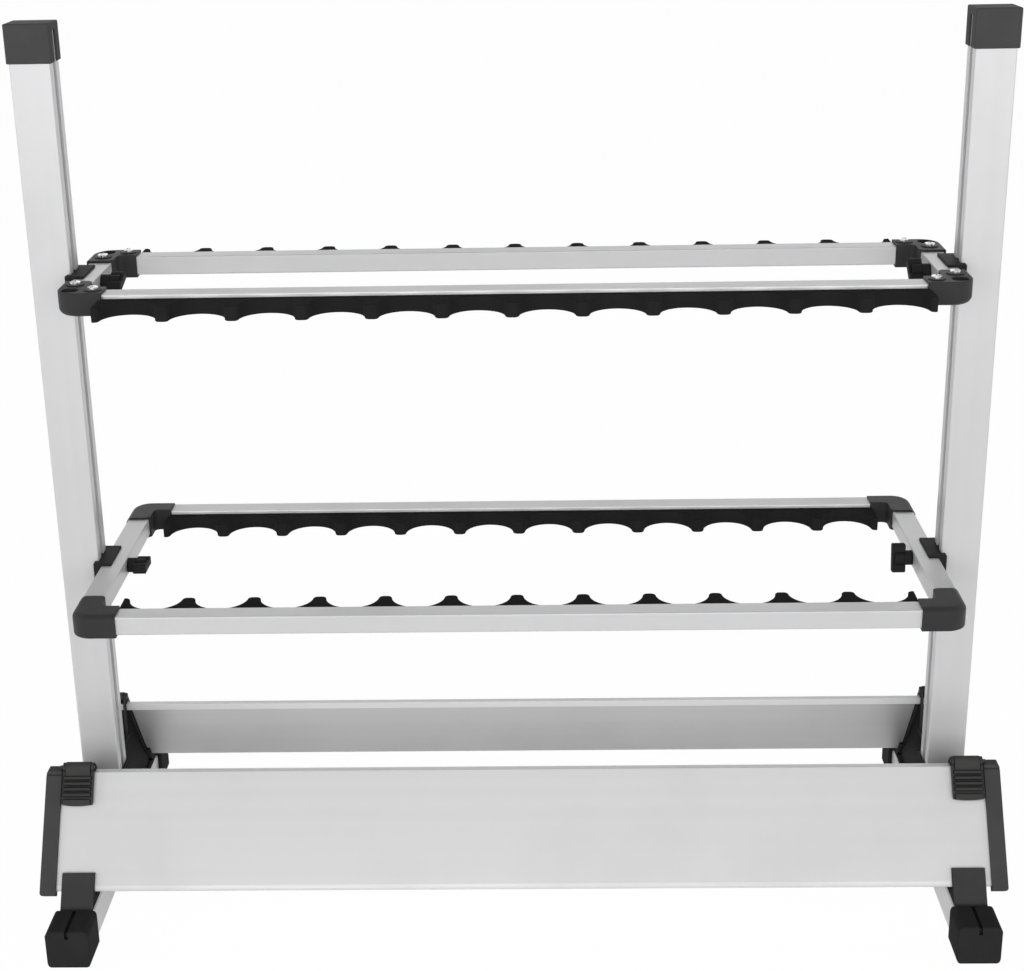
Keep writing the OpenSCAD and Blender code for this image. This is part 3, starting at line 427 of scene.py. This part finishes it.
# The four feet are sleeves pushed onto the ends of the foot bars. They are moulded in a softer,
# darker rubber with a finer matt skin, which grips the floor.
FOOT_BLACK = (0.039, 0.039, 0.040)
foot_rubber = moulded("foot_rubber", FOOT_BLACK, rough=0.72, specular=0.02, cells=2600.0,
                      edge_radius=0.0012)
finish_nodes(foot_rubber, *[f"{e}_{s}_foot" for e in ENDS for s in SIDES])


# The two panels are bent aluminium sheets, a little paler than the extrusions and rolled along
# the rack. Each has a hem at its head, folded down inward, whose lip gets a painted highlight.
PANEL_COLOUR = (0.80, 0.80, 0.805)
drawn_across = (ALONG_LINES, ACROSS_LINES, ACROSS_LINES)
hem_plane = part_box("rear_panel")[0][1]
finish_nodes(anodised("anodised_panel", drawn_across, PANEL_COLOUR, hem_plane),
             *[f"{e}_panel" for e in ENDS])


# Each rod frame is four aluminium tubes: two rails along the rack and two end tubes, pushed into
# the corner fittings and screwed there. The rails' lips, above and below the groove for the
# strip, get a painted highlight. They face outward on the upper frame and inward on the lower one.
for frame_name, strip_side in (("upper", 1), ("lower", 0)):
    lip_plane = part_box(f"{frame_name}_rear_rail")[strip_side][1]
    finish_nodes(anodised(f"anodised_{frame_name}_rail", drawn_across, lip_plane=lip_plane),
                 *[f"{frame_name}_{e}_rail" for e in ENDS])
finish_nodes(anodised("anodised_end_tube", drawn_back),
             *[f"{f}_{s}_end_tube" for f in FRAMES for s in SIDES])


# The notched rod strips are dense black foam rubber, water-jet cut from a sheet: each has a row
# of rod notches, softly rounded cut edges, and a tongue that is pushed into the rail's groove.
STRIP_BLACK = (0.026, 0.026, 0.0262)
NOTCHES = 12
TOOTH_TIP = 0.0095
TOOTH_ROUND = 0.0034
NOTCH_SIDE = 0.0015
RAIL_SHOULDER = 0.0031
CORNER_CLEAR = 0.0005
RAIL_GAP = 0.00005
TONGUE_HEIGHT = 0.0040
TONGUE_DEPTH = 0.0040
TONGUE_INSET = 0.0005
CUT_ROUND = 0.0009
FACE_INSET = 0.00135
CUT_STEPS = 4
CUT_WAVE = 0.00012
WAVE_CELLS = 160
ARC_STEPS = 20
CORNER_STEPS = 6
SHARPEST_SMOOTH = math.radians(40)


def notch_outline(radius, reach):
    """One rod notch about x = 0, from the tooth on its left to the tooth on its right.

    Its arc's centre lies NOTCH_SIDE inside the teeth's tips. Each tooth's round corner touches
    both the tip and the arc, at the angle called lean.
    """
    lean = math.asin((TOOTH_ROUND - NOTCH_SIDE) / (radius + TOOTH_ROUND))
    corner_x = (radius + TOOTH_ROUND) * math.cos(lean)
    turns = [lean + (math.pi / 2 - lean) * step / CORNER_STEPS for step in range(CORNER_STEPS + 1)]
    corner = [(TOOTH_ROUND * math.cos(turn) - corner_x, reach - TOOTH_ROUND + TOOTH_ROUND * math.sin(turn))
              for turn in reversed(turns)]
    turns = [lean + (math.pi - 2 * lean) * step / ARC_STEPS for step in range(1, ARC_STEPS)]
    arc = [(-radius * math.cos(turn), reach - NOTCH_SIDE - radius * math.sin(turn)) for turn in turns]
    return corner + arc + [(-x, y) for x, y in reversed(corner)]


def strip_outline(end_x, foot_x, reach):
    """The strip's plan from its back left corner, clockwise seen from above: x along, y out."""
    pitch = 2 * end_x / NOTCHES
    notch = notch_outline((pitch - TOOTH_TIP) / 2, reach)
    flare_y = RAIL_SHOULDER + end_x - foot_x
    outline = [(-foot_x, RAIL_GAP), (-foot_x, RAIL_SHOULDER), (-end_x, flare_y), (-end_x, reach)]
    for number in range(NOTCHES):
        middle = (number + 0.5) * pitch - end_x
        outline += [(middle + x, y) for x, y in notch]
    return outline + [(end_x, reach), (end_x, flare_y), (foot_x, RAIL_SHOULDER), (foot_x, RAIL_GAP)]


def inward_miters(outline):
    """For each corner of the plan, the step that moves it and both its edges inward by one."""
    points = [Vector(point) for point in outline]
    steps = []
    for i, point in enumerate(points):
        before = (point - points[i - 1]).normalized()
        after = (points[(i + 1) % len(points)] - point).normalized()
        sides = [Vector((run.y, -run.x)) for run in (before, after)]
        steps.append((sides[0] + sides[1]) / (1 + sides[0].dot(sides[1])))
    return steps


def cut_layers(bottom, top):
    """How far in and how high each stacked copy of the plan lies, with both rims rounded."""
    layers = [(FACE_INSET, bottom)]
    for step in range(CUT_STEPS + 1):
        angle = math.pi / 2 * step / CUT_STEPS
        layers.append((CUT_ROUND * (1 - math.sin(angle)), bottom + CUT_ROUND * (1 - math.cos(angle))))
    return layers + [(inset, bottom + top - z) for inset, z in reversed(layers)]


def stack_plan(mesh, outline, layers, facing, face_y):
    """Stacks rings of corners, each drawn in by its inset, where the cut is a little uneven."""
    miters = inward_miters(outline)
    rings = []
    for inset, z in layers:
        ring = []
        for (x, y), miter in zip(outline, miters):
            wave = CUT_WAVE * noise.noise(Vector((x, y, z + facing)) * WAVE_CELLS)
            shift = miter * (inset + (wave if y >= RAIL_SHOULDER else 0))
            ring.append(mesh.verts.new((x + shift.x, face_y + facing * (y + shift.y), z)))
        rings.append(ring)
    return rings


def join_rings(mesh, ring, next_ring, left_open=None):
    """Joins two rings of corners with a band of faces, and may leave one of them open."""
    for i in range(len(ring)):
        if i != left_open:
            j = (i + 1) % len(ring)
            mesh.faces.new((ring[i], ring[j], next_ring[j], next_ring[i]))


def draw_tongue(mesh, opening, half_length, tongue_z, facing, face_y):
    """Draws the tongue out of the opening in the strip's back, and closes its end."""
    ring = opening
    for y in (RAIL_GAP, -TONGUE_DEPTH):
        next_ring = [mesh.verts.new((x * half_length, face_y + facing * y, tongue_z + z * TONGUE_HEIGHT / 2))
                     for x, z in ((1, -1), (-1, -1), (-1, 1), (1, 1))]
        join_rings(mesh, ring, next_ring)
        ring = next_ring
    mesh.faces.new(ring)


def foam_strip(frame_name, end_name):
    """One strip as a closed mesh: stacked copies of its plan, two flat faces and the tongue."""
    node = f"{frame_name}_{end_name}_strip"
    low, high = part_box(node)
    rail_low, rail_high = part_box(f"{frame_name}_{end_name}_rail")
    facing = 1 if low[1] + high[1] > rail_low[1] + rail_high[1] else -1
    face_y = rail_high[1] if facing > 0 else rail_low[1]
    reach = abs((high[1] if facing > 0 else low[1]) - face_y)
    foot_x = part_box(f"{frame_name}_{end_name}_right_corner")[0][0] - CORNER_CLEAR
    outline = strip_outline(high[0], foot_x, reach)
    mesh = bmesh.new()
    rings = stack_plan(mesh, outline, cut_layers(low[2], high[2]), facing, face_y)
    back = len(outline) - 1
    middle = len(rings) // 2 - 1
    for number, (ring, next_ring) in enumerate(zip(rings, rings[1:])):
        join_rings(mesh, ring, next_ring, left_open=back if number == middle else None)
    opening = [rings[middle][back], rings[middle][0], rings[middle + 1][0], rings[middle + 1][back]]
    tongue_z = (rail_low[2] + rail_high[2]) / 2
    draw_tongue(mesh, opening, foot_x - TONGUE_INSET, tongue_z, facing, face_y)
    caps = [mesh.faces.new(rings[0]), mesh.faces.new(rings[-1])]
    for cap in caps:
        cap.normal_update()
    bmesh.ops.triangulate(mesh, faces=caps)
    bmesh.ops.recalc_face_normals(mesh, faces=mesh.faces)
    data = bpy.data.meshes.new(f"foam_{node}")
    mesh.to_mesh(data)
    mesh.free()
    data.shade_smooth()
    data.set_sharp_from_angle(angle=SHARPEST_SMOOTH)
    data.materials.append(strip_foam)
    piece = bpy.data.objects.new(f"foam_{node}", data)
    scene.collection.objects.link(piece)
    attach(piece, f"{frame_name}_frame")
    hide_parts(node)


strip_foam = moulded("strip_foam", STRIP_BLACK, rough=0.9, specular=0.04, cells=3200.0,
                     bump_strength=0.5, edge_radius=0.0004)
for frame_name in FRAMES:
    for end_name in ENDS:
        foam_strip(frame_name, end_name)


# The screws, the clamps' bolts and the T-nuts are bright zinc-plated steel, turned and then
# barrel polished, so their edges are soft and their shine is slightly uneven.
ZINC = (0.72, 0.72, 0.74, 1)
POLISH_CELLS = 900.0
POLISH_BRIGHT = 0.16
POLISH_DULL = 0.36
POLISH_BUMP = 0.2
POLISH_HEIGHT = 0.00004
POLISHED_ROUND = 0.0003
zinc_steel = bpy.data.materials.new("zinc_steel")
add = shader_tree(zinc_steel)
polish = add("TexNoise", Vector=add("TexCoord").outputs["Object"], Scale=POLISH_CELLS, Detail=3.0)
roughness = add("MapRange", Value=polish.outputs[0], To_Min=POLISH_BRIGHT, To_Max=POLISH_DULL)
edge = place_group(add, soft_edge, Radius=POLISHED_ROUND)
bump = add("Bump", Strength=POLISH_BUMP, Distance=POLISH_HEIGHT, Height=polish.outputs[0],
           Normal=edge["Normal"])
shader = add("BsdfPrincipled", Base_Color=ZINC, Metallic=1.0, Roughness=roughness.outputs["Result"],
             Normal=bump.outputs[0])
add("OutputMaterial", Surface=shader.outputs[0])
finish_nodes(zinc_steel, "bracket_screws",
             *[f"{f}_{part}" for f in FRAMES for part in ("corner_screws", "t_nuts")],
             *[f"{f}_{s}_bolt" for f in FRAMES for s in SIDES])


# The latches' four hinge pins are hardened steel, blued dark in hot salts. Each goes through the
# two ears of a side bracket and the latch between them.
BLUED = (0.035, 0.035, 0.04, 1)
BLUED_PALE = (0.06, 0.06, 0.065, 1)
BLUED_CELLS = 1400.0
BLUED_SMOOTH = 0.38
BLUED_MATT = 0.55
blued_steel = bpy.data.materials.new("blued_steel")
add = shader_tree(blued_steel)
bluing = add("TexNoise", Vector=add("TexCoord").outputs["Object"], Scale=BLUED_CELLS, Detail=2.0)
skin = laid_over(add, bluing.outputs[0], BLUED, BLUED_PALE)
roughness = add("MapRange", Value=bluing.outputs[0], To_Min=BLUED_SMOOTH, To_Max=BLUED_MATT)
edge = place_group(add, soft_edge, Radius=POLISHED_ROUND)
shader = add("BsdfPrincipled", Base_Color=skin, Metallic=0.5, Roughness=roughness.outputs["Result"],
             Normal=edge["Normal"], Specular_IOR_Level=0.2)
add("OutputMaterial", Surface=shader.outputs[0])
finish_nodes(blued_steel, "latch_pins")
